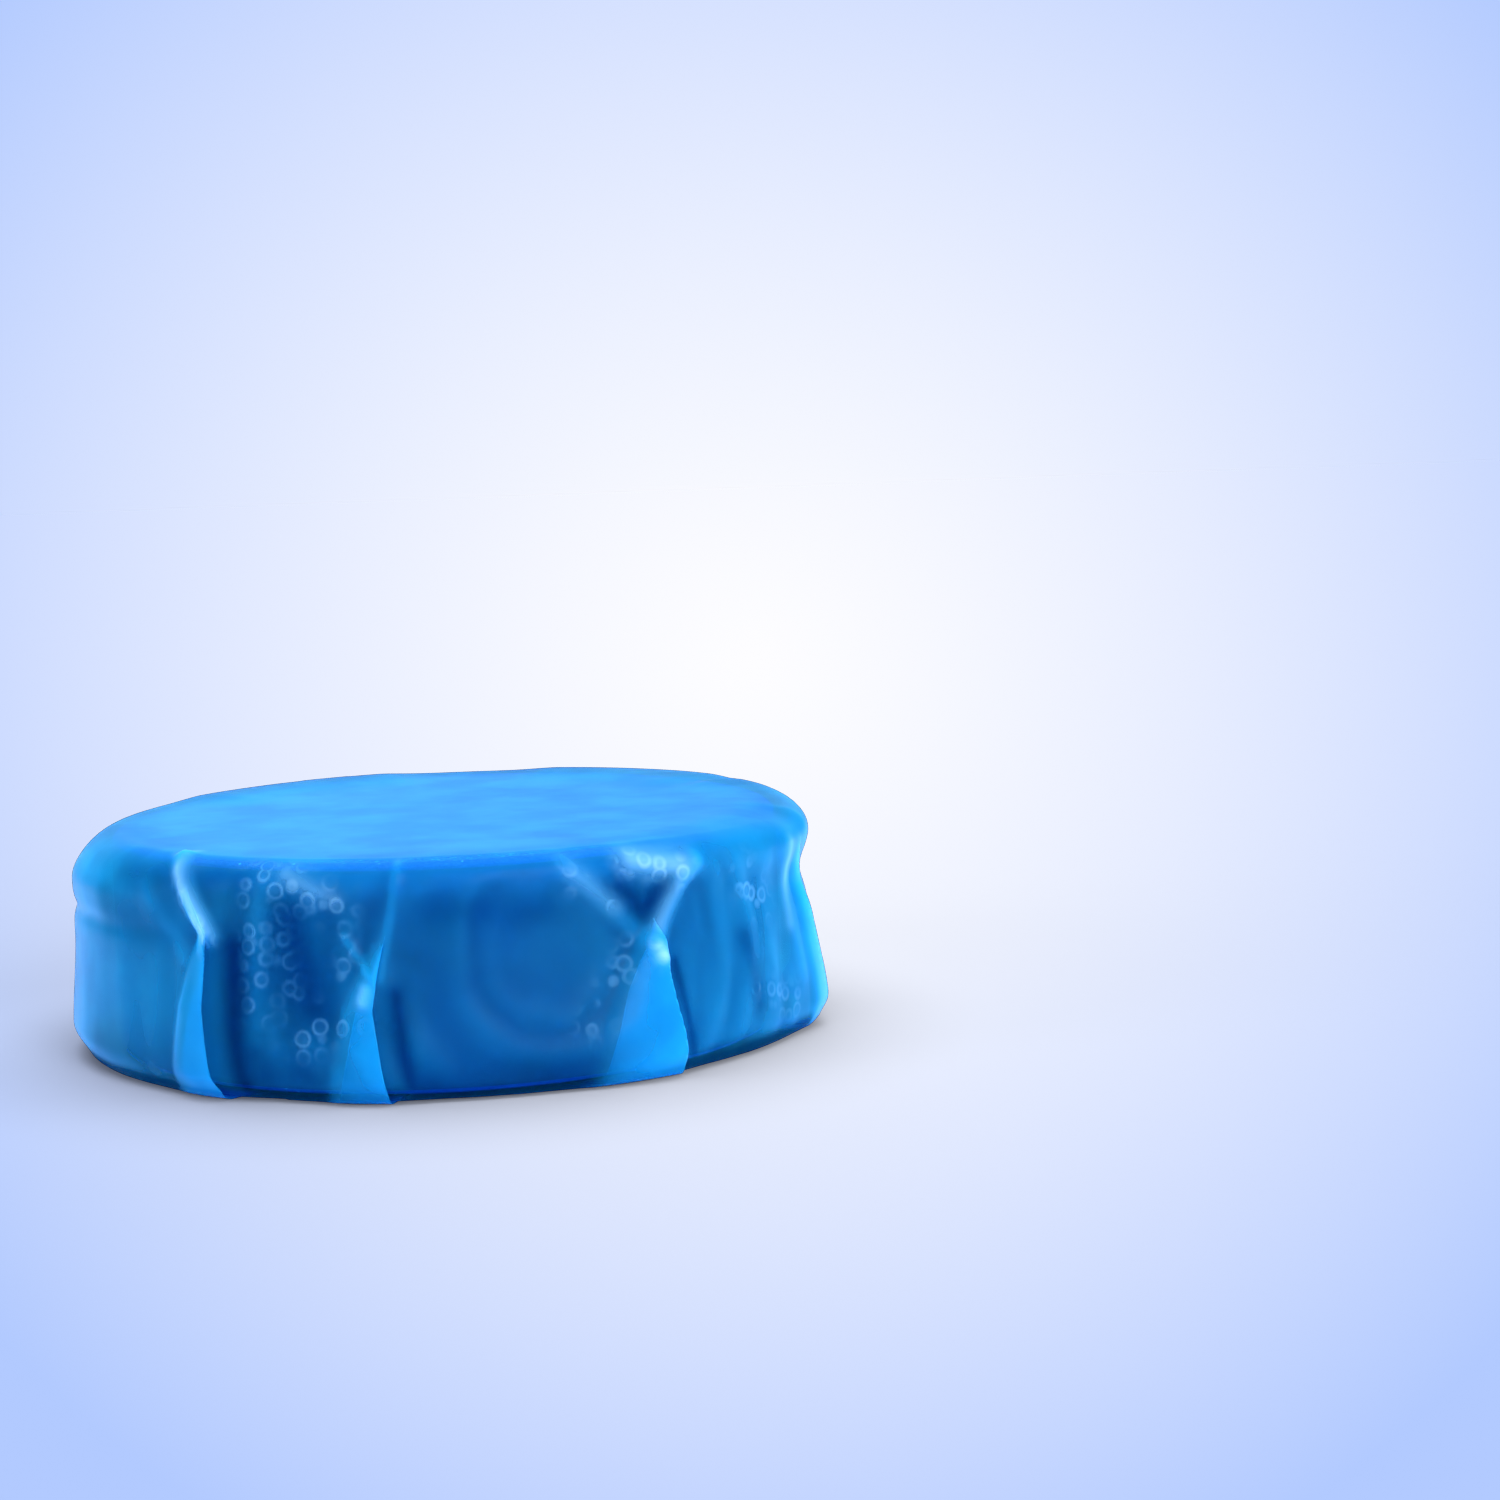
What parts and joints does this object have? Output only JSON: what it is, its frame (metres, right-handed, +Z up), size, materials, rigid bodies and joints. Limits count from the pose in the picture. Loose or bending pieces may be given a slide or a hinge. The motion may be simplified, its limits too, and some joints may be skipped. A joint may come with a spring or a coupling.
{
  "type": "wrapped toilet cistern block",
  "caption": "Round pressed cleaning tablet for a toilet cistern, wrapped in one thin clear pleated film that lifts off.",
  "frame": {"origin": "on the base the block stands on, under the middle of the film's outline", "axes": "+Z up through the block's thickness, -Y towards the side with the two narrow front pleats, +X to its right"},
  "size_m": [0.0556, 0.051, 0.0167],
  "materials": {
    "pressed_powder": "matte pressed blue powder, grainy and pitted on the faces, smoother on the pressed side",
    "clear_film": "thin glossy see-through film, wet-looking where it clings, brighter where it lies in several layers"
  },
  "bodies": {
    "block": {"tablet": "pressed_powder"},
    "wrapper": {"film_wrap": "clear_film"}
  },
  "joints": [
    {"name": "film_lift", "type": "slide", "parent": "block", "child": "wrapper", "axis": [0, 0, 1], "range_m": [0, 0.03], "deforming": ["film_wrap"]}
  ]
}
